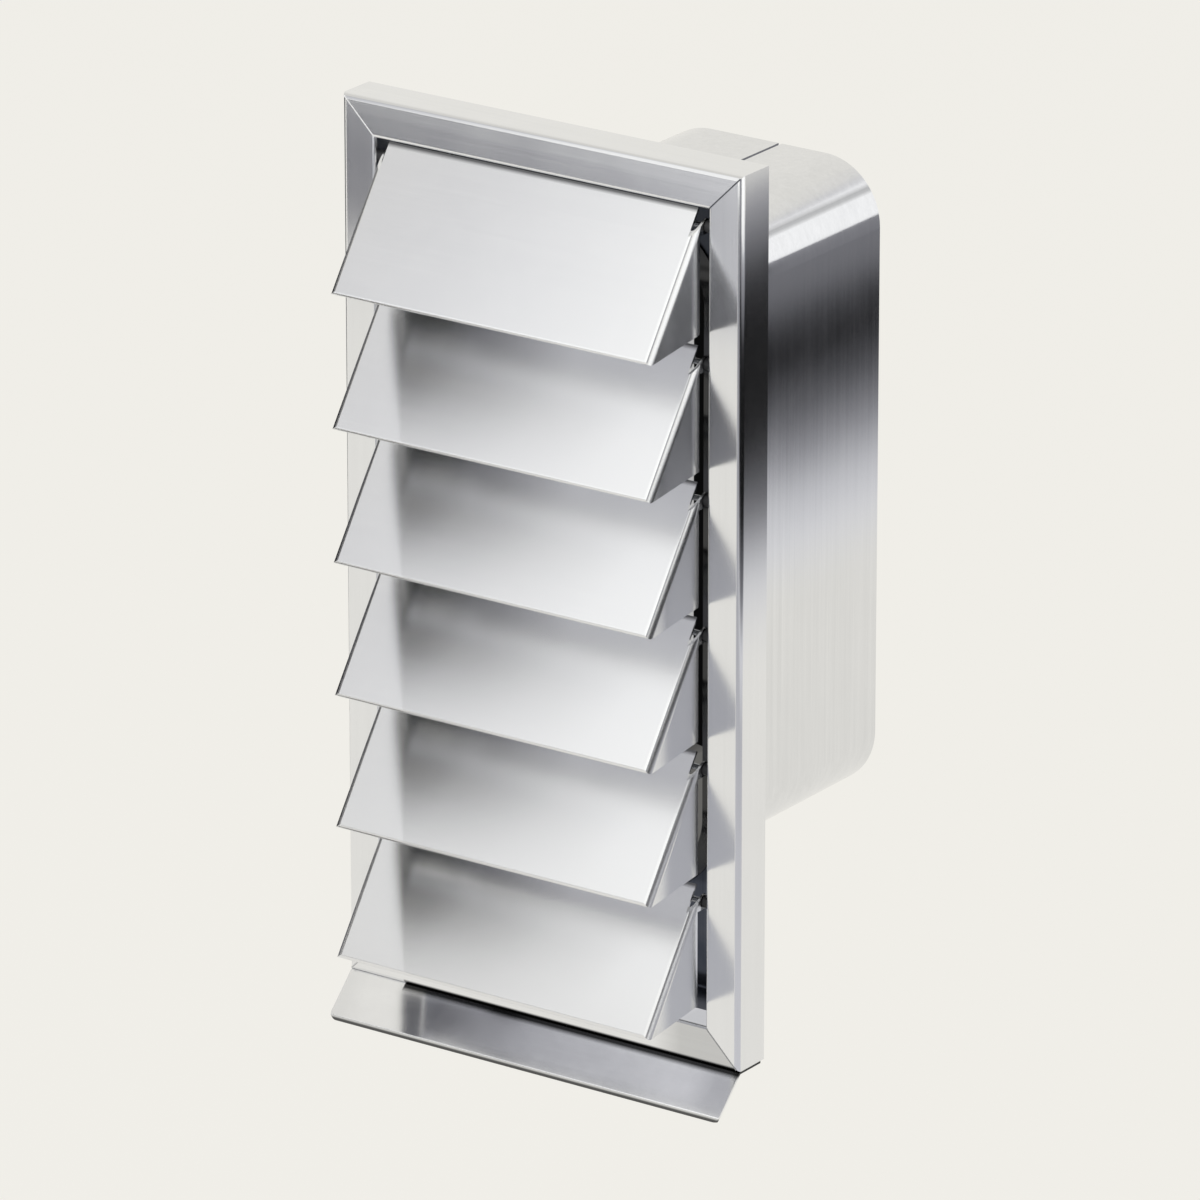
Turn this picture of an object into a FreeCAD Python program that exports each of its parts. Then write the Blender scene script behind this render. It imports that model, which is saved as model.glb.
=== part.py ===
import FreeCAD, Part
import math
import os

from FreeCAD import Vector

# Wall louvre for a flat air duct, in millimetres.
# Origin: centre of the four fixing holes, on the back of the tray.
# +Z is up, +X is to the right as seen from outside, and the louvre faces -Y.

# Front frame: four mitred channels folded from sheet
frame_width = 158.0
frame_height = 308.0
frame_depth = 15.0
band_width = 13.3
inner_return = 12.0
frame_sheet = 1.0
frame_bend = 0.8
lip_bend = 0.3

# Tray that the frame stands on, let into the wall
tray_depth = 31.0
tray_sheet = 0.8
tray_bend = 0.8
tray_gap = 0.1
tray_front_setback = 2.0

# Fixing holes through the back of the tray
fixing_inset_x = 23.0
fixing_inset_z = 24.0
fixing_hole_radius = 2.3

# Duct sleeve: rolled rounded rectangle with an open butt seam
sleeve_width = 90.0
sleeve_height = 222.0
sleeve_corner = 22.0
sleeve_length = 100.0
sleeve_rise = 7.0
sleeve_sheet = 0.8
sleeve_flange = 6.0
sleeve_clearance = 0.1
seam_offset = 5.0
seam_gap = 1.3

# Flaps: folded blades with side cheeks, hung on rods near their top edge
flap_count = 6
flap_length = 54.9
flap_lean = 35.0
flap_sheet = 0.8
flap_bend = 1.6
flap_side_gap = 2.3
flap_top_gap = 0.5
flap_bottom_gap = 3.9
flap_setback = 1.5
cheek_front_gap = 1.1
cheek_rise = 3.2
flap_shoulder = 2.4
lip_depth = 3.5
flap_lip_bend = 0.2

# Hinges
rod_radius = 1.0
rod_setback = 3.0
rod_drop = 6.1
ear_radius = 2.5
ear_slope = 35.7
hinge_clearance = 0.05
bush_radius = 2.0
bush_end_gap = 0.1

# Drip plate under the bottom rail
drip_length = 17.6
drip_angle = 45.0
drip_lip = 1.6
drip_sheet = 0.8
drip_bend = 0.4
drip_corner = 2.5
drip_start = 1.0
drip_back_gap = 2.0

# Places that follow from the sizes above
front = -tray_depth
wall = front + frame_depth
half_width = frame_width / 2
half_height = frame_height / 2
open_x = half_width - band_width
open_z = half_height - band_width
tray_x = open_x + frame_sheet + tray_gap
tray_z = open_z + frame_sheet + tray_gap
back_inside = -tray_sheet
lean = math.radians(flap_lean)
flap_x = open_x - flap_side_gap
flap_top = open_z - flap_top_gap
flap_reach = flap_length * math.sin(lean) - flap_setback
flap_drop = flap_length * math.cos(lean)
flap_pitch = (flap_top - flap_drop + open_z - flap_bottom_gap) / (flap_count - 1)
rod_y = front + rod_setback
fixing_x = half_width - fixing_inset_x
fixing_z = half_height - fixing_inset_z

origin = Vector(0, 0, 0)
along_x = Vector(1, 0, 0)
along_y = Vector(0, 1, 0)
along_z = Vector(0, 0, 1)


def rounded_wire(corners, place):
    """Closed wire through (u, v, radius) corners, with an arc at each corner that has a radius."""
    starts, ends, edges = [], [], []
    count = len(corners)
    for i, (u, v, radius) in enumerate(corners):
        before, after = corners[i - 1], corners[(i + 1) % count]
        here = Vector(u, v, 0)
        back = (Vector(before[0], before[1], 0) - here).normalize()
        ahead = (Vector(after[0], after[1], 0) - here).normalize()
        if radius <= 0:
            starts.append(here)
            ends.append(here)
            continue
        half = back.getAngle(ahead) / 2
        reach = radius / math.tan(half)
        middle = here + (back + ahead).normalize() * (radius / math.sin(half) - radius)
        starts.append(here + back * reach)
        ends.append(here + ahead * reach)
        points = [place(p.x, p.y) for p in (starts[-1], middle, ends[-1])]
        edges.append(Part.Arc(*points).toShape())
    for i in range(count):
        a, b = ends[i - 1], starts[i]
        if a.distanceToPoint(b) > 1e-6:
            edges.append(Part.makeLine(place(a.x, a.y), place(b.x, b.y)))
    return Part.Wire(Part.__sortEdges__(edges))


def prism(corners, place, sweep):
    return Part.Face(rounded_wire(corners, place)).extrude(sweep)


def sheet_section(path, thickness, inside_radius):
    """Outline of a folded sheet: the path and its copy offset to the left, with bends of one inside radius."""
    points = [Vector(u, v, 0) for u, v in path]
    headings = [(b - a).normalize() for a, b in zip(points, points[1:])]
    sides = [Vector(-h.y, h.x, 0) for h in headings]
    first = points[0] + sides[0] * thickness
    near, far = [(points[0].x, points[0].y, 0)], [(first.x, first.y, 0)]
    for i in range(1, len(points) - 1):
        turn = headings[i - 1].cross(headings[i]).z
        miter = (sides[i - 1] + sides[i]).normalize()
        offset = points[i] + miter * (thickness / miter.dot(sides[i]))
        outer, inner = inside_radius + thickness, inside_radius
        near_radius, far_radius = (outer, inner) if turn > 0 else (inner, outer)
        near.append((points[i].x, points[i].y, near_radius))
        far.append((offset.x, offset.y, far_radius))
    last = points[-1] + sides[-1] * thickness
    near.append((points[-1].x, points[-1].y, 0))
    far.append((last.x, last.y, 0))
    return near + far[::-1]


def rod(radius, start, sweep):
    return Part.makeCylinder(radius, sweep.Length, start, sweep)


def cheek_places():
    return [flap_top - flap_drop - i * flap_pitch for i in range(flap_count)]


def rod_heights():
    return [flap_top - rod_drop - i * flap_pitch for i in range(flap_count)]


# Front frame

def channel_corners():
    """Section across one side of the frame: u runs inward from the outer face, v backward from the front."""
    corners = sheet_section([(0, frame_depth), (0, 0), (band_width, 0), (band_width, inner_return)],
                            frame_sheet, frame_bend)
    lip_outside = corners[2]
    lip_inside = corners[5]
    corners[2] = (lip_outside[0], lip_outside[1], lip_bend + frame_sheet)
    corners[5] = (lip_inside[0], lip_inside[1], lip_bend)
    return corners


def mitre_block(long_half, start, across, along):
    """Trapezium that gives one side of the frame its 45 degree ends."""
    corners = [(0, -long_half, 0), (0, long_half, 0),
               (band_width, long_half - band_width, 0), (band_width, band_width - long_half, 0)]
    return prism(corners, lambda u, v: start + across * u + along * v, along_y * frame_depth)


def left_stile():
    def place(u, v):
        return Vector(u - half_width, v + front, -half_height)
    body = prism(channel_corners(), place, along_z * frame_height)
    body = body.common(mitre_block(half_height, Vector(-half_width, front, 0), along_x, along_z))
    holes = [rod(rod_radius, Vector(-open_x - 2 * frame_sheet, rod_y, z), along_x * (3 * frame_sheet))
             for z in rod_heights()]
    return body.cut(holes)


def top_rail():
    def place(u, v):
        return Vector(-half_width, v + front, half_height - u)
    body = prism(channel_corners(), place, along_x * frame_width)
    return body.common(mitre_block(half_width, Vector(0, front, half_height), along_z * -1, along_x))


# Tray and duct sleeve

def folded_block(x, y_from, z, y_to, radius):
    """Block centred on the Y axis whose four back edges are rounded and meet in mitres, as on a folded tray."""
    def section(half):
        return [(-half, y_from, 0), (half, y_from, 0), (half, y_to, radius), (-half, y_to, radius)]
    along_height = prism(section(x), lambda u, v: Vector(u, v, -z), along_z * (2 * z))
    along_width = prism(section(z), lambda u, v: Vector(-x, v, u), along_x * (2 * x))
    return along_height.common(along_width)


def sleeve_corners(grow):
    x = sleeve_width / 2 + grow
    z = sleeve_height / 2 + grow
    radius = sleeve_corner + grow
    return [(-x, -z, radius), (x, -z, radius), (x, z, radius), (-x, z, radius)]


def sleeve_block(grow, y_from, y_to):
    def place(u, v):
        return Vector(u, y_from, v + sleeve_rise)
    return prism(sleeve_corners(grow), place, along_y * (y_to - y_from))


def fixing_places():
    return [Vector(sx * fixing_x, 0, sz * fixing_z) for sx in (-1, 1) for sz in (-1, 1)]


def tray():
    mouth = front + tray_front_setback
    outside = folded_block(tray_x + tray_sheet, mouth, tray_z + tray_sheet, 0, tray_bend + tray_sheet)
    inside = folded_block(tray_x, mouth - 1, tray_z, back_inside, tray_bend)
    shell = outside.cut(inside)
    cuts = [sleeve_block(sleeve_clearance, 2 * back_inside, tray_sheet)]
    cuts += [rod(fixing_hole_radius, p - along_y * (2 * tray_sheet), along_y * (3 * tray_sheet))
             for p in fixing_places()]
    return shell.cut(cuts)


def duct_sleeve():
    flange_front = back_inside - sleeve_sheet
    tube = sleeve_block(0, flange_front, sleeve_length)
    flange = sleeve_block(sleeve_flange, flange_front, back_inside)
    bore = sleeve_block(-sleeve_sheet, flange_front - 1, sleeve_length + 1)
    seam = Part.makeBox(seam_gap, sleeve_length, 3 * sleeve_sheet,
                        Vector(seam_offset - seam_gap / 2, 0, sleeve_rise + sleeve_height / 2 - 2 * sleeve_sheet))
    seam.translate(along_y * (2 * sleeve_sheet))
    return tube.fuse(flange).cut([bore, seam]).removeSplitter()


# Flaps

def flap_channel(tip_z):
    """Channel that the blade and its cheeks are folded from, leaning forward."""
    up = Vector(0, math.sin(lean), math.cos(lean))
    inward = Vector(0, math.cos(lean), -math.sin(lean))
    tip = Vector(0, front - flap_reach, tip_z)
    leg = flap_reach + rod_setback + ear_radius
    section = sheet_section([(-flap_x, leg), (-flap_x, 0), (flap_x, 0), (flap_x, leg)], flap_sheet, flap_bend)

    def place(u, v):
        return tip - up * flap_length + Vector(u, 0, 0) + inward * v
    return prism(section, place, up * (2.5 * flap_length))


def side_outline(tip_z, rod_z):
    """Side view of a flap: leaning blade, and a cheek with a rising foot and a neck up to the ear."""
    tip_y = front - flap_reach
    back_y = front - cheek_front_gap
    skin = flap_sheet / math.cos(lean)
    slope = math.tan(math.radians(ear_slope))
    ear_turn = math.radians(90 + ear_slope)
    ear_y = rod_y + ear_radius * math.cos(ear_turn)
    ear_z = rod_z + ear_radius * math.sin(ear_turn)
    steep = 1 / math.tan(lean)
    inner_y = (tip_z - ear_z + slope * ear_y - steep * (tip_y + skin)) / (slope - steep)
    inner_z = ear_z + slope * (inner_y - ear_y)
    top_y = front + flap_setback
    top_z = tip_z + flap_drop
    return [(tip_y, tip_z, flap_sheet + flap_lip_bend),
            (back_y, tip_z + cheek_rise, 0),
            (back_y, rod_z - ear_radius, 0),
            (rod_y, rod_z - ear_radius, 0),
            (ear_y, ear_z, 0),
            (inner_y, inner_z, 0),
            (top_y + flap_sheet * math.cos(lean), top_z - flap_sheet * math.sin(lean), 0),
            (top_y, top_z, 0)]


def flap_lip(tip_z):
    """Bottom edge of the blade with its stiffening fold, which turns in between the cheeks."""
    tip = Vector(front - flap_reach, tip_z, 0)
    foot = Vector(flap_reach - cheek_front_gap, cheek_rise, 0).normalize()
    up = Vector(math.sin(lean), math.cos(lean), 0)
    path = [tip + up * (2 * lip_depth), tip, tip + foot * lip_depth]
    section = sheet_section([(p.x, p.y) for p in path], flap_sheet, flap_lip_bend)
    half = flap_x - flap_sheet - flap_bend
    return prism(section, lambda u, v: Vector(-half, u, v), along_x * (2 * half))


def shoulder_cuts(rod_z):
    """Blocks that narrow the blade above the ears, so that it passes between the cheeks of the flap above."""
    slope = math.tan(math.radians(ear_slope))
    reach = 3 * rod_drop
    base = rod_z + ear_radius / math.cos(math.radians(ear_slope))
    corners = [(rod_y - reach, base - reach * slope, 0), (rod_y + reach, base + reach * slope, 0),
               (rod_y + reach, base + 2 * reach, 0), (rod_y - reach, base + 2 * reach, 0)]
    cuts = []
    for start in (-flap_x - 1, flap_x - flap_shoulder):
        cuts.append(prism(corners, lambda u, v: Vector(start, u, v), along_x * (flap_shoulder + 1)))
    return cuts


def flap(tip_z, rod_z):
    outline = prism(side_outline(tip_z, rod_z), lambda u, v: Vector(-flap_x, u, v), along_x * (2 * flap_x))
    ears = rod(ear_radius, Vector(-flap_x, rod_y, rod_z), along_x * (2 * flap_x))
    folded = flap_channel(tip_z).common(outline.fuse(ears))
    body = folded.fuse(flap_lip(tip_z))
    cuts = shoulder_cuts(rod_z)
    cuts.append(rod(rod_radius + hinge_clearance, Vector(-flap_x - 1, rod_y, rod_z), along_x * (2 * flap_x + 2)))
    return body.cut(cuts).removeSplitter()


def hinge_rod(rod_z):
    end = open_x + frame_sheet
    return rod(rod_radius, Vector(-end, rod_y, rod_z), along_x * (2 * end))


def hinge_bushes():
    """Spacers on the rod ends, between each cheek and the frame."""
    bushes = []
    length = flap_side_gap - bush_end_gap
    for rod_z in rod_heights():
        for start in (-open_x, open_x - length):
            place = Vector(start, rod_y, rod_z)
            tube = rod(bush_radius, place, along_x * length)
            bushes.append(tube.cut(rod(rod_radius + hinge_clearance, place, along_x * length)))
    return Part.makeCompound(bushes)


# Drip plate

def drip_plate():
    """Sheet under the bottom rail, bent forward and down, with a turned lip."""
    turn = math.radians(drip_angle)
    under = -half_height
    bend = (front + drip_start, under)
    edge = (bend[0] - drip_length * math.cos(turn), bend[1] - drip_length * math.sin(turn))
    path = [(wall - drip_back_gap, under), bend, edge, (edge[0], edge[1] - drip_lip)]
    section = sheet_section(path, drip_sheet, drip_bend)
    body = prism(section, lambda u, v: Vector(-half_width, u, v), along_x * frame_width)
    down = Vector(0, -math.cos(turn), -math.sin(turn))
    through = Vector(0, -math.sin(turn), math.cos(turn))
    reach = drip_length + 2 * frame_depth
    lip_allowance = drip_lip * math.sin(turn)
    base = Vector(0, bend[0], bend[1]) - down * (2 * frame_depth) - through * (2 * frame_depth)
    corners = [(-half_width, 0, 0), (half_width, 0, 0),
               (half_width, reach + lip_allowance, drip_corner), (-half_width, reach + lip_allowance, drip_corner)]
    blank = prism(corners, lambda u, v: base + along_x * u + down * v, through * (4 * frame_depth))
    return body.common(blank)


def pieces():
    stile, rail = left_stile(), top_rail()
    made = {
        "frame_left_stile": stile,
        "frame_right_stile": stile.mirror(origin, along_x),
        "frame_top_rail": rail,
        "frame_bottom_rail": rail.mirror(origin, along_z),
        "wall_tray": tray(),
        "duct_sleeve": duct_sleeve(),
        "drip_plate": drip_plate(),
        "hinge_bushes": hinge_bushes(),
    }
    for i, (tip_z, rod_z) in enumerate(zip(cheek_places(), rod_heights()), start=1):
        made["flap_%d" % i] = flap(tip_z, rod_z)
        made["hinge_rod_%d" % i] = hinge_rod(rod_z)
    return made


os.makedirs("parts", exist_ok=True)
for name, shape in pieces().items():
    shape.exportStep("parts/%s.step" % name)
    print(name, len(shape.Solids), "solids", round(shape.Volume, 1), "mm3", "valid" if shape.isValid() else "INVALID")
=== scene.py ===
import math

import bpy
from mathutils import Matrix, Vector


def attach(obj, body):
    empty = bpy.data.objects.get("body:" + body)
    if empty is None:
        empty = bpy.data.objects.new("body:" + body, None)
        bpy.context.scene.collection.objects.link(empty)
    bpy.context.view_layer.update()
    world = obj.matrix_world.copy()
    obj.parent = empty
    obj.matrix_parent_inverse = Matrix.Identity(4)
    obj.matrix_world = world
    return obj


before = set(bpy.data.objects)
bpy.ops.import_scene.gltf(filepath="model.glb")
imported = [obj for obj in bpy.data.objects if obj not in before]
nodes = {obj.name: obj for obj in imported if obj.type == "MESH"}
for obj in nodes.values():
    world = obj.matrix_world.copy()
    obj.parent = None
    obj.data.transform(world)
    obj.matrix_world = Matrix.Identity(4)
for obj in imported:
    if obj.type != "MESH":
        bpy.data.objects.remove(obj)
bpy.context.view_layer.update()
print("frame loaded:", len(nodes), "nodes")


def newMaterial(name):
    material = bpy.data.materials.new(name)
    material.use_nodes = True
    tree = material.node_tree
    tree.nodes.clear()
    return material, tree


def addNode(tree, kind, **values):
    node = tree.nodes.new(kind)
    for key, value in values.items():
        setattr(node, key, value)
    return node


def setInputs(node, **values):
    for key, value in values.items():
        node.inputs[key.replace("_", " ")].default_value = value


# a Math node on two sockets, or on a socket and a number
def combine(tree, operation, first, second, kind="ShaderNodeMath"):
    node = addNode(tree, kind, operation=operation)
    tree.links.new(first, node.inputs[0])
    if isinstance(second, float):
        node.inputs[1].default_value = second
    else:
        tree.links.new(second, node.inputs[1])
    return node.outputs[0]


def combineColours(tree, operation, first, second):
    return combine(tree, operation, first, second, "ShaderNodeVectorMath")


# The sheet's grain: brush lines in two sizes along X, cloudy marks of handling, slow waves of thin sheet.
# Each scale counts features per metre.
grain = dict(
    fineScale=(14, 2600, 2600),
    fineLines=dict(Scale=1.0, Detail=3.0, Roughness=0.6),
    coarseScale=(5, 420, 420),
    coarseLines=dict(Scale=1.0, Detail=2.0, Roughness=0.5),
    coarseShare=0.4,
    clouds=dict(Scale=34.0, Detail=4.0, Roughness=0.62, Distortion=0.4),
    waves=dict(Scale=9.0, Detail=1.0, Roughness=0.4),
    middle=0.5,       # mean of a noise
    greenShare=0.3,   # of the blue tint
)
steelInputs = dict(tone="Tone", tint="Tint", lineDepth="Line Depth", cloudDepth="Cloud Depth",
                   roughness="Roughness", roughnessSpread="Roughness Spread", waveHeight="Wave Height")


def buildSteelGroup():
    tree = bpy.data.node_groups.new("steelSurface", "ShaderNodeTree")
    face = tree.interface
    face.new_socket(name="Vector", in_out="INPUT", socket_type="NodeSocketVector")
    for name in steelInputs.values():
        face.new_socket(name=name, in_out="INPUT", socket_type="NodeSocketFloat")
    face.new_socket(name="Color", in_out="OUTPUT", socket_type="NodeSocketColor")
    face.new_socket(name="Roughness", in_out="OUTPUT", socket_type="NodeSocketFloat")
    face.new_socket(name="Height", in_out="OUTPUT", socket_type="NodeSocketFloat")
    given = addNode(tree, "NodeGroupInput").outputs
    result = addNode(tree, "NodeGroupOutput").inputs
    link = tree.links.new

    def plus(first, second):
        return combine(tree, "ADD", first, second)

    def times(first, second):
        return combine(tree, "MULTIPLY", first, second)

    def centred(value):
        return combine(tree, "SUBTRACT", value, grain["middle"])

    def stretched(scale):
        mapping = addNode(tree, "ShaderNodeMapping")
        mapping.inputs["Scale"].default_value = scale
        link(given["Vector"], mapping.inputs["Vector"])
        return mapping.outputs["Vector"]

    def noise(place, settings):
        texture = addNode(tree, "ShaderNodeTexNoise")
        setInputs(texture, **settings)
        link(place, texture.inputs["Vector"])
        return texture.outputs["Fac"]

    bothLines = addNode(tree, "ShaderNodeMix", data_type="FLOAT")
    bothLines.inputs["Factor"].default_value = grain["coarseShare"]
    link(noise(stretched(grain["fineScale"]), grain["fineLines"]), bothLines.inputs["A"])
    link(noise(stretched(grain["coarseScale"]), grain["coarseLines"]), bothLines.inputs["B"])
    lines = centred(bothLines.outputs["Result"])
    clouds = centred(noise(given["Vector"], grain["clouds"]))
    waves = centred(noise(given["Vector"], grain["waves"]))

    red = plus(plus(given["Tone"], times(lines, given["Line Depth"])), times(clouds, given["Cloud Depth"]))
    colour = addNode(tree, "ShaderNodeCombineColor")
    link(red, colour.inputs[0])
    link(plus(red, times(given["Tint"], grain["greenShare"])), colour.inputs[1])
    link(plus(red, given["Tint"]), colour.inputs[2])
    cloudy = plus(given["Roughness"], times(clouds, given["Roughness Spread"]))
    link(colour.outputs[0], result["Color"])
    link(plus(cloudy, times(lines, given["Roughness Spread"])), result["Roughness"])
    link(plus(lines, times(waves, given["Wave Height"])), result["Height"])
    return tree


steelSurface = buildSteelGroup()
directions = {"X": (1, 0, 0), "Y": (0, 1, 0), "Z": (0, 0, 1)}


# values along one direction; each station is (place in metres, value or colour)
def rampAlong(tree, place, direction, stations):
    low, high = stations[0][0], stations[-1][0]
    along = addNode(tree, "ShaderNodeVectorMath", operation="DOT_PRODUCT")
    along.inputs[1].default_value = directions[direction]
    share = addNode(tree, "ShaderNodeMapRange")
    setInputs(share, From_Min=low, From_Max=high)
    ramp = addNode(tree, "ShaderNodeValToRGB")
    stops = ramp.color_ramp.elements
    while len(stops) < len(stations):
        stops.new(0.5)
    for stop, (spot, value) in zip(stops, stations):
        stop.position = (spot - low) / (high - low)
    for stop, (spot, value) in zip(stops, stations):
        colour = value if isinstance(value, tuple) else (value, value, value)
        stop.color = (*colour, 1)
    tree.links.new(place, along.inputs[0])
    tree.links.new(along.outputs["Value"], share.inputs["Value"])
    tree.links.new(share.outputs[0], ramp.inputs["Fac"])
    return ramp.outputs["Color"]


# The colour, scaled by a painted shade: one ramp, or the larger of its ramps. It is painted shade inside the louvre,
# in its joints, on edges and bends and along the line of a press brake.
def paintShade(tree, place, colour, paintedShade):
    scale = rampAlong(tree, place, *paintedShade[0])
    for more in paintedShade[1:]:
        scale = combineColours(tree, "MAXIMUM", scale, rampAlong(tree, place, *more))
    return combineColours(tree, "MULTIPLY", colour, scale)


def steelMaterial(name, finish):
    material, tree = newMaterial(name)
    link = tree.links.new
    place = addNode(tree, "ShaderNodeTexCoord").outputs["Object"]
    turn = addNode(tree, "ShaderNodeMapping")   # the group's lines run along X
    turn.inputs["Rotation"].default_value = [math.radians(a) for a in finish["grainTurn"]]
    surface = addNode(tree, "ShaderNodeGroup")
    surface.node_tree = steelSurface
    for key, socket in steelInputs.items():
        surface.inputs[socket].default_value = finish[key]
    bump = addNode(tree, "ShaderNodeBump")
    setInputs(bump, Strength=finish["bumpStrength"], Distance=finish["bumpDistance"])
    shader = addNode(tree, "ShaderNodeBsdfPrincipled")
    setInputs(shader, Metallic=1.0, Anisotropic=finish["stretch"])
    across = addNode(tree, "ShaderNodeCombineXYZ")   # gloss spreads across the brush lines
    for axis, value in zip("XYZ", finish["spreadAlong"]):
        across.inputs[axis].default_value = value
    output = addNode(tree, "ShaderNodeOutputMaterial")
    colour = surface.outputs["Color"]
    # paint each of the finish's shades into the colour
    for paintedShade in finish["paintedShades"]:
        colour = paintShade(tree, place, colour, paintedShade)
    link(place, turn.inputs["Vector"])
    link(turn.outputs["Vector"], surface.inputs["Vector"])
    link(surface.outputs["Roughness"], shader.inputs["Roughness"])
    link(surface.outputs["Height"], bump.inputs["Height"])
    link(bump.outputs["Normal"], shader.inputs["Normal"])
    link(across.outputs[0], shader.inputs["Tangent"])
    link(colour, shader.inputs["Base Color"])
    link(shader.outputs[0], output.inputs["Surface"])
    return material


jointShadowStop = ("X", [(-0.0567, 1.0), (-0.0563, 0.0)])   # the painted shadow in the joints stops here: none to the left of this
flapFinish = dict(tone=0.82, tint=0.02, lineDepth=0.05, cloudDepth=0.05, roughness=0.21, roughnessSpread=0.05,
                  waveHeight=0.3, bumpStrength=0.10, bumpDistance=0.00004, grainTurn=(0, 0, 0),
                  stretch=0.98, spreadAlong=(0, 0, 1),
                  paintedShades=[[("Y", [(-0.0306, 1.0), (-0.0298, 0.2)])]])   # painted shade behind the frame's front
stileFinish = dict(tone=0.84, tint=0.02, lineDepth=0.10, cloudDepth=0.05, roughness=0.17, roughnessSpread=0.05,
                   waveHeight=0.3, bumpStrength=0.12, bumpDistance=0.00004, grainTurn=(0, 90, 0),
                   stretch=0.7, spreadAlong=(1, 1, 0), paintedShades=[])
railFinish = dict(stileFinish, roughness=0.12, roughnessSpread=0.04, grainTurn=(0, 0, 0), spreadAlong=(0, 1, 1),
                  paintedShades=[[("Z", [(0.1518, 1.0), (0.1524, 0.84), (0.1536, 0.84), (0.1539, 1.0)])]])   # painted shade on the top edge bend, which dims its highlight
sillFinish = dict(railFinish,
                  paintedShades=[[("Z", [(-0.1538, 0.05), (-0.1528, 0.3), (-0.1522, 1.0)]), jointShadowStop],   # painted shadow in the joint over the drip plate
                         [("X", [(0.045, 1.0), (0.056, 0.72)])]])   # painted shade on the right end
sleeveFinish = dict(tone=0.78, tint=0.02, lineDepth=0.22, cloudDepth=0.06, roughness=0.12, roughnessSpread=0.08,
                    waveHeight=0.5, bumpStrength=0.15, bumpDistance=0.00005, grainTurn=(0, 90, 0),
                    stretch=0.7, spreadAlong=(0, 1, 0),
                    paintedShades=[[("Y", [(-0.0006, 0.08), (0.0, 1.0)])],       # painted shade inside the tray
                           [("Z", [(-0.1022, 0.06), (-0.1008, 1.0)])],   # painted shade on the underside
                           [("Z", [(0.1075, 1.0), (0.1086, 0.60), (0.1093, 0.55), (0.1106, 1.0)])]])   # painted shade along the crease of a press line
dripFinish = dict(tone=0.86, tint=0.02, lineDepth=0.10, cloudDepth=0.30, roughness=0.15, roughnessSpread=0.08,
                  waveHeight=0.3, bumpStrength=0.12, bumpDistance=0.00004, grainTurn=(0, 0, 0),
                  stretch=0.6, spreadAlong=(0, 1, 1),
                  paintedShades=[[("Z", [(-0.1672, 0.12), (-0.1664, 1.0)])],               # painted shadow on the lower edge
                         [("Z", [(-0.1562, 1.0), (-0.1550, 0.05)]), jointShadowStop]])   # painted shadow in the joint under the frame
# painted shade: the tray's near-black tone stands for the dark inside of the louvre
trayShadeFinish = dict(tone=0.06, tint=0.02, lineDepth=0.08, cloudDepth=0.10, roughness=0.42, roughnessSpread=0.08,
                  waveHeight=0.3, bumpStrength=0.10, bumpDistance=0.00004, grainTurn=(0, 90, 0),
                  stretch=0.3, spreadAlong=(1, 1, 0), paintedShades=[])
rodFinish = dict(tone=0.25, tint=0.03, lineDepth=0.06, cloudDepth=0.04, roughness=0.25, roughnessSpread=0.05,
                 waveHeight=0.1, bumpStrength=0.08, bumpDistance=0.00002, grainTurn=(0, 0, 0),
                 stretch=0.0, spreadAlong=(1, 0, 0), paintedShades=[])

stileSteel = steelMaterial("stileSteel", stileFinish)
railSteel = steelMaterial("railSteel", railFinish)
sillSteel = steelMaterial("sillSteel", sillFinish)
flapSteel = steelMaterial("flapSteel", flapFinish)
sleeveSteel = steelMaterial("sleeveSteel", sleeveFinish)
dripSteel = steelMaterial("dripSteel", dripFinish)
trayShadeSteel = steelMaterial("trayShadeSteel", trayShadeFinish)
rodSteel = steelMaterial("rodSteel", rodFinish)
print("steel finishes ready")


bushFinish = dict(dark=(0.012, 0.012, 0.014, 1), light=(0.030, 0.030, 0.033, 1), roughness=0.55,
                  mottle=dict(Scale=900.0, Detail=2.0), bump=dict(Strength=0.2, Distance=0.00003))


def bushMaterial():
    material, tree = newMaterial("bushPlastic")
    link = tree.links.new
    where = addNode(tree, "ShaderNodeTexCoord")
    mottle = addNode(tree, "ShaderNodeTexNoise")
    setInputs(mottle, **bushFinish["mottle"])
    tones = addNode(tree, "ShaderNodeValToRGB")
    tones.color_ramp.elements[0].color = bushFinish["dark"]
    tones.color_ramp.elements[1].color = bushFinish["light"]
    bump = addNode(tree, "ShaderNodeBump")
    setInputs(bump, **bushFinish["bump"])
    shader = addNode(tree, "ShaderNodeBsdfPrincipled")
    setInputs(shader, Roughness=bushFinish["roughness"])
    output = addNode(tree, "ShaderNodeOutputMaterial")
    link(where.outputs["Object"], mottle.inputs["Vector"])
    link(mottle.outputs["Fac"], tones.inputs["Fac"])
    link(mottle.outputs["Fac"], bump.inputs["Height"])
    link(tones.outputs["Color"], shader.inputs["Base Color"])
    link(bump.outputs["Normal"], shader.inputs["Normal"])
    link(shader.outputs[0], output.inputs["Surface"])
    return material


bushPlastic = bushMaterial()

pieceFinish = {
    "frame_left_stile": stileSteel, "frame_right_stile": stileSteel,
    "frame_top_rail": railSteel, "frame_bottom_rail": sillSteel,
    "duct_sleeve": sleeveSteel, "drip_plate": dripSteel, "wall_tray": trayShadeSteel, "hinge_bushes": bushPlastic,
}
for i in range(1, 7):
    pieceFinish["flap_%d" % i] = flapSteel
    pieceFinish["hinge_rod_%d" % i] = rodSteel
for nodeName in nodes:
    materials = nodes[nodeName].data.materials
    materials.clear()
    materials.append(pieceFinish[nodeName])
print("pieces finished")


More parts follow.
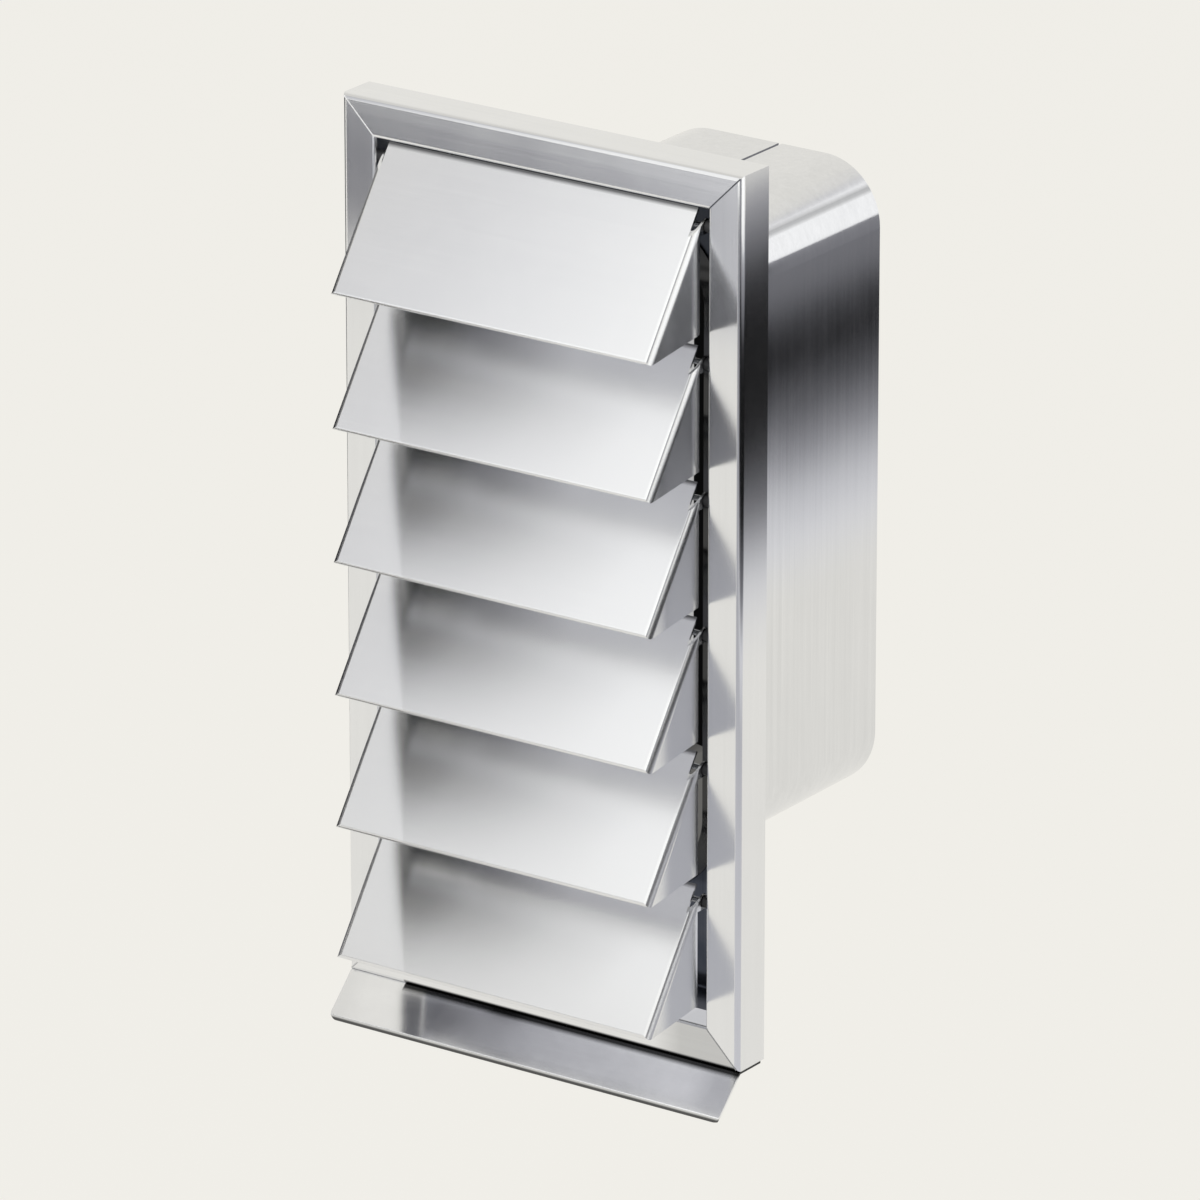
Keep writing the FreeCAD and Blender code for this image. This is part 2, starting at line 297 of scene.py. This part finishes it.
# weld seams on the mitres of the frame's front, from the opening's corner to the outer corner
seamShape = dict(middle=(0.0722, -0.030975, 0.1472), length=0.0170, width=0.0005, depth=0.00015,
                 roundRadius=0.00006, roundSteps=2)
seamFinish = dict(railFinish, roughness=0.45, paintedShades=[])
seams = [("seamTopLeft", -1, 1, 0.95), ("seamTopRight", 1, 1, 0.12),
         ("seamBottomRight", 1, -1, 0.40), ("seamBottomLeft", -1, -1, 0.60)]   # side in x and z, tone; the tones are painted highlight and shade: light at the top left, dark at the top right


def addSeam(name, sideX, sideZ, tone):
    x, y, z = seamShape["middle"]
    bpy.ops.object.select_all(action="DESELECT")
    bpy.ops.mesh.primitive_cube_add(size=1, location=(sideX * x, y, sideZ * z),
                                    rotation=(0, math.atan2(-sideZ, sideX), 0))
    seam = bpy.context.object
    seam.name = name
    seam.scale = (seamShape["length"], seamShape["depth"], seamShape["width"])
    bpy.ops.object.transform_apply(location=True, rotation=True, scale=True)
    bead = seam.modifiers.new("bead", "BEVEL")
    bead.width, bead.segments = seamShape["roundRadius"], seamShape["roundSteps"]
    bpy.ops.object.modifier_apply(modifier="bead")
    seam.data.materials.append(steelMaterial(name + "Steel", dict(seamFinish, tone=tone)))
    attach(seam, "frame")


for seam in seams:
    addSeam(*seam)
print("seams on the frame")


studio = dict(
    pale=(0.8796, 0.8632, 0.8148, 1),   # floor and background
    white=(1, 1, 1, 1),
    floorHeight=-0.62,
    floorSize=40.0,
    floorGlow=0.8,
    worldLevel=0.92,
    paperLift=0.001,
)


# 1 for rays from the camera, from gloss and through glass
def seenDirectly(tree):
    path = addNode(tree, "ShaderNodeLightPath").outputs
    seen = combine(tree, "MAXIMUM", path["Is Camera Ray"], path["Is Glossy Ray"])
    return combine(tree, "MAXIMUM", seen, path["Is Transmission Ray"])


def mixShaders(tree, share, first, second, outputKind="ShaderNodeOutputMaterial"):
    mix = addNode(tree, "ShaderNodeMixShader")
    output = addNode(tree, outputKind)
    tree.links.new(share, mix.inputs[0])
    tree.links.new(first.outputs[0], mix.inputs[1])
    tree.links.new(second.outputs[0], mix.inputs[2])
    tree.links.new(mix.outputs[0], output.inputs["Surface"])


def buildWorld():
    world = bpy.data.worlds.new("studioWorld")
    world.use_nodes = True
    tree = world.node_tree
    tree.nodes.clear()
    plain = addNode(tree, "ShaderNodeBackground")
    setInputs(plain, Color=studio["white"], Strength=studio["worldLevel"])
    shown = addNode(tree, "ShaderNodeBackground")
    setInputs(shown, Color=studio["pale"])
    mixShaders(tree, seenDirectly(tree), plain, shown, "ShaderNodeOutputWorld")
    bpy.context.scene.world = world


def buildFloor():
    bpy.ops.object.select_all(action="DESELECT")
    bpy.ops.mesh.primitive_plane_add(size=studio["floorSize"], location=(0, 0, studio["floorHeight"]))
    floor = bpy.context.object
    floor.name = "studioFloor"
    material, tree = newMaterial("floorPaper")
    lit = addNode(tree, "ShaderNodeBsdfDiffuse")
    setInputs(lit, Color=studio["pale"])
    glow = addNode(tree, "ShaderNodeEmission")
    setInputs(glow, Color=studio["pale"])
    mixShaders(tree, combine(tree, "MULTIPLY", seenDirectly(tree), studio["floorGlow"]), lit, glow)
    floor.data.materials.append(material)


def addSheet(name, corners, faces):
    mesh = bpy.data.meshes.new(name)
    mesh.from_pydata(corners, [], faces)
    sheet = bpy.data.objects.new(name, mesh)
    bpy.context.scene.collection.objects.link(sheet)
    return sheet


# Painted shade: glowing sheets on the floor behind the louvre, near black for the shade inside it, so that no light
# floor shows through its gaps, the open sleeve and a fixing hole; one strip is grey. Only the camera sees them.
shadePapers = dict(
    darkShadePaper=dict(value=0.003, corners=[(-0.578, 0.931), (-1.259, 1.931), (-1.288, 1.931), (-0.600, 0.931)]),
    greyShadePaper=dict(value=0.45, corners=[(-0.600, 0.931), (-1.288, 1.931), (-1.331, 1.931), (-0.634, 0.931)]),
    holeShadePaper=dict(value=0.003, corners=[(-1.455, 1.900), (-1.455, 1.926), (-1.429, 1.926), (-1.429, 1.900)]),
)


def addShadePaper(name, value, corners):
    height = studio["floorHeight"] + studio["paperLift"]
    paper = addSheet(name, [(x, y, height) for x, y in corners], [(0, 1, 2, 3)])
    material, tree = newMaterial(name + "Paint")
    glow = addNode(tree, "ShaderNodeEmission")
    setInputs(glow, Color=(value, value, value, 1))
    output = addNode(tree, "ShaderNodeOutputMaterial")
    tree.links.new(glow.outputs[0], output.inputs["Surface"])
    paper.data.materials.append(material)
    paper.visible_diffuse = False
    paper.visible_glossy = False
    paper.visible_transmission = False


buildWorld()
buildFloor()
for name, paper in shadePapers.items():
    addShadePaper(name, **paper)


# a grey that is a little blue between black and white
def cardShade(value):
    return (value, value, 1.006 * value + 0.1 * value * (1 - value))


# A card is a painted reflection: a glowing sheet only seen in gloss, which paints highlight and shade into the metal.
# Each of its bands is (place along the axis, brightness, cover); a cut thins the cover.
def addCard(name, corners, bands, axis="Z", cut=None):
    card = addSheet(name, corners, [(i, i + 1, i + 3, i + 2) for i in range(0, len(corners) - 2, 2)])
    material, tree = newMaterial(name + "Paint")
    place = addNode(tree, "ShaderNodeTexCoord").outputs["Object"]
    cover = rampAlong(tree, place, axis, [(spot, share) for spot, value, share in bands])
    if cut:
        cover = combineColours(tree, "MULTIPLY", cover, rampAlong(tree, place, *cut))
    glow = addNode(tree, "ShaderNodeEmission")
    shades = rampAlong(tree, place, axis, [(spot, cardShade(value)) for spot, value, share in bands])
    tree.links.new(shades, glow.inputs["Color"])
    mixShaders(tree, cover, addNode(tree, "ShaderNodeBsdfTransparent"), glow)
    card.data.materials.append(material)
    card.visible_camera = False
    card.visible_diffuse = False
    card.visible_shadow = False
    card.visible_transmission = False
    return card


# corners of an upright card between two floor points
def flatCard(start, end, low, high):
    return [(*start, low), (*start, high), (*end, low), (*end, high)]


# corners of an upright curved card; each station is (angle from the front towards the right, low, high)
def curvedCard(radius, stations, steps=8):
    corners = []
    for (start, lowA, highA), (end, lowB, highB) in zip(stations, stations[1:]):
        for i in range(steps + 1):
            share = i / steps
            angle = math.radians(start + (end - start) * share)
            x, y = radius * math.sin(angle), -radius * math.cos(angle)
            corners += [(x, y, lowA + (lowB - lowA) * share), (x, y, highA + (highB - highA) * share)]
    return corners


# painted reflection: dark upper half of the sleeve
addCard("sleeveCard", flatCard((0.18, 0.205), (0.18, 1.10), -0.105, 0.088),
        [(-0.105, 0.85, 0), (-0.085, 0.80, 1), (-0.069, 0.62, 1), (-0.052, 0.28, 1), (-0.034, 0.09, 1),
         (-0.016, 0.006, 1), (-0.003, 0.05, 1), (0.008, 0.20, 1), (0.088, 0.26, 1)])
# painted reflection: dark part of the frame's right side
addCard("sideCard", flatCard((0.18, -0.25), (0.18, 0.205), -0.075, 0.095),
        [(-0.075, 0.80, 0), (-0.047, 0.70, 1), (-0.026, 0.17, 1), (0.000, 0.004, 1), (0.045, 0.002, 1),
         (0.062, 0.02, 1), (0.080, 0.24, 1), (0.095, 0.42, 1)])
# painted reflection: darker top of the frame
addCard("frontCard", flatCard((-0.42, -0.33), (-0.05, -0.33), -0.018, 0.055),
        [(-0.42, 0.18, 1), (-0.28, 0.20, 1), (-0.26, 0.24, 1), (-0.21, 0.30, 1), (-0.15, 0.45, 1),
         (-0.05, 0.80, 1)], "X")
# painted reflection: cheeks and dark wedges beside them
addCard("roomCard", curvedCard(0.7, [(-12, -0.60, 0.05), (118, -0.60, 0.05)]),
        [(-0.60, 0.75, 1), (-0.34, 0.59, 1), (-0.20, 0.42, 1), (-0.11, 0.29, 1), (-0.04, 0.26, 1),
         (0.00, 0.23, 1), (0.05, 0.20, 0)])
# painted reflection: dark left edges of the flaps
addCard("leftCard", curvedCard(0.6, [(-150, -0.45, -0.06), (-132, -0.38, 0.00), (-114, -0.28, 0.10),
                                     (-98, -0.16, 0.22), (-81, -0.05, 0.36), (-64, 0.05, 0.42), (-53, 0.12, 0.34)]),
        [(-0.45, 0.07, 1), (0.60, 0.07, 1)])
# painted reflection: flaps, brighter to the right
addCard("softCard", flatCard((-0.36, -0.30), (0.32, -0.30), 0.06, 0.60),
        [(-0.36, 0.63, 0), (-0.31, 0.63, 1), (-0.24, 0.92, 1), (-0.16, 1.20, 1), (0.10, 1.30, 1),
         (0.14, 1.30, 1), (0.16, 0.28, 1), (0.26, 0.28, 1), (0.28, 1.20, 1), (0.32, 1.20, 1)], "X")
# painted highlight: light line along the flaps' bottom edges
addCard("lowCard", flatCard((-0.36, -0.295), (0.10, -0.295), 0.062, 0.108),
        [(0.062, 1.45, 1), (0.108, 1.45, 1)])
# painted highlights: light right-hand bends
addCard("edgeCard", curvedCard(0.5, [(55, -0.02, 0.50), (112, -0.02, 0.50)]),
        [(-0.02, 1.25, 0), (0.00, 1.25, 1), (0.50, 1.25, 1)])


# Cards between the flaps paint shade into their reflections. Heights count from a flap's bottom edge; tip, foot, top
# and back are places in y and z.
flapCards = dict(
    firstTip=0.0952, pitch=0.0464, count=6,   # heights of the flaps' bottom edges
    tip=(-0.0625, -0.0008), foot=(-0.0560, 0.0033), turn=-0.0640, right=0.0624,
)
underCard = dict(
    low=-0.0683, high=-0.0752, top=(-0.0510, 0.0105), back=(-0.0443, 0.0200),
    bands=[(-0.0752, 0.000, 1), (-0.060, 0.000, 1), (-0.051, 0.02, 1), (-0.035, 0.16, 1), (0.001, 0.54, 1),
           (0.033, 0.56, 1), (0.0624, 0.56, 1)],
)
dripCard = dict(   # the last one, over the drip plate
    low=-0.0705, high=-0.0813, top=(-0.0481, 0.0145), back=(-0.0481, 0.0145),
    bands=[(-0.0813, 0.10, 1), (-0.070, 0.11, 1), (-0.0588, 0.15, 1), (-0.0296, 0.38, 1), (0.0029, 0.52, 1),
           (0.0317, 0.62, 1), (0.042, 0.60, 1), (0.0504, 0.47, 1), (0.0624, 0.45, 1)],
)
veilCard = dict(
    lowLeft=-0.0345, highLeft=-0.0683, right=0.034,
    bands=[(-0.0690, 0, 1.0), (-0.060, 0, 0.96), (-0.050, 0, 0.85), (-0.036, 0, 0.60), (0.0, 0, 0.22),
           (0.034, 0, 0.0)],
    cut=("Z", [(-0.0464, 0.08), (-0.035, 0.28), (-0.024, 0.50), (-0.015, 0.76), (-0.007, 0.92), (-0.0008, 1.0)]),
)


# the card swings with its flap
def hangOnFlap(card, flap):
    card.location.z = flapCards["firstTip"] - flapCards["pitch"] * flap
    card.parent = nodes["flap_%d" % (flap + 1)]


# painted reflection: dark left part under a flap
def addUnderCard(flap, low, high, top, back, bands):
    tip, foot, turn, right = (flapCards[key] for key in ("tip", "foot", "turn", "right"))
    corners = [(low, *tip), (high, *top), (turn, *tip), (turn, *top),
               (turn, *foot), (turn, *back), (right, *foot), (right, *back)]
    hangOnFlap(addCard("underCard%d" % (flap + 1), corners, bands, "X"), flap)


# painted shade in the reflections: from flap to flap, darkens the upper left of the lower one
def addVeilCard(flap, lowLeft, highLeft, right, bands, cut):
    y, high = flapCards["tip"]
    low = -flapCards["pitch"]
    corners = [(lowLeft, y, low), (highLeft, y, high), (right, y, low), (right, y, high)]
    hangOnFlap(addCard("veilCard%d" % (flap + 1), corners, bands, "X", cut), flap)


last = flapCards["count"] - 1
for flap in range(last):
    addUnderCard(flap, **underCard)
addUnderCard(last, **dripCard)
for flap in range(last):
    addVeilCard(flap, **veilCard)

# painted reflection: light on the drip plate
addCard("backCard", flatCard((-0.062, -0.0035), (0.062, -0.0035), -0.138, -0.105),
        [(-0.062, 0.55, 1), (-0.034, 0.80, 1), (-0.006, 1.00, 1), (0.020, 0.85, 1), (0.062, 0.85, 1)], "X")
# painted reflection: a bright band on the sleeve
addCard("glowCard", flatCard((0.0, 1.0), (1.3, 1.0), 0.0, 0.70), [(0.000, 1.10, 1), (0.700, 1.10, 1)])
# painted reflection: a thin line above that band
addCard("stripCard", flatCard((0.0, 1.0), (1.3, 1.0), 0.70, 0.76), [(0.700, 0.62, 1), (0.760, 0.62, 1)])


keyLamp = dict(place=(-1.4, -1.6, 1.9), target=(0, 0, 0), size=1.6, power=9)


def buildLamp():
    bpy.ops.object.light_add(type="AREA", location=keyLamp["place"])
    lamp = bpy.context.object
    lamp.name = "keyLamp"
    lamp.data.size = keyLamp["size"]
    lamp.data.energy = keyLamp["power"]
    lamp.visible_glossy = False
    lamp.rotation_mode = "QUATERNION"
    lamp.rotation_quaternion = (Vector(keyLamp["place"]) - Vector(keyLamp["target"])).to_track_quat("Z", "Y")


buildLamp()
print("studio ready")


cameraView = dict(place=(1.8609, -2.6509, 1.1667), azimuth=35.04, elevation=20.04,
                  sensor=36, lens=313.9, clip=(0.1, 100))


def buildCamera():
    bpy.ops.object.camera_add(location=cameraView["place"])
    camera = bpy.context.object
    camera.name = "photoCamera"
    around = math.radians(cameraView["azimuth"])
    above = math.radians(cameraView["elevation"])
    back = Vector((math.sin(around) * math.cos(above), -math.cos(around) * math.cos(above), math.sin(above)))
    camera.rotation_mode = "QUATERNION"
    camera.rotation_quaternion = (-back).to_track_quat("-Z", "Y")
    camera.data.sensor_width = cameraView["sensor"]
    camera.data.lens = cameraView["lens"]
    camera.data.clip_start, camera.data.clip_end = cameraView["clip"]
    bpy.context.scene.camera = camera


buildCamera()
bpy.context.scene.view_settings.view_transform = "Standard"
